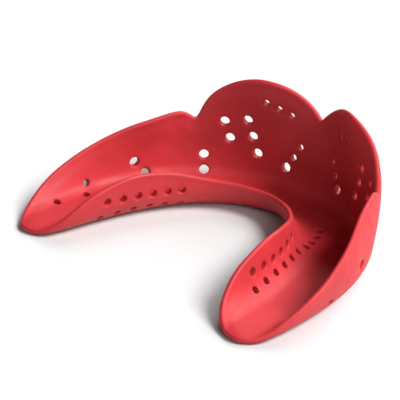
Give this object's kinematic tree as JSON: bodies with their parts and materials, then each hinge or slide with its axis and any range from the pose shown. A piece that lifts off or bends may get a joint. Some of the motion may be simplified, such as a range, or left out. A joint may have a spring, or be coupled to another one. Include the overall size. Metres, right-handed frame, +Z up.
{
  "type": "mouthguard",
  "caption": "Thin perforated one-piece mouthguard for the upper teeth, a moulded trough with two rounded front shields.",
  "frame": {"origin": "centre of the bounding box, on the flat underside that the guard stands on", "axes": "+X across the arch, -Y towards the lips with the two arms running towards +Y, +Z up towards the gums"},
  "size_m": [0.0722, 0.0538, 0.0235],
  "materials": {
    "guard_plastic": "smooth moulded thermoplastic, semi-gloss"
  },
  "bodies": {
    "root": {"mouthguard": "guard_plastic"}
  },
  "joints": []
}
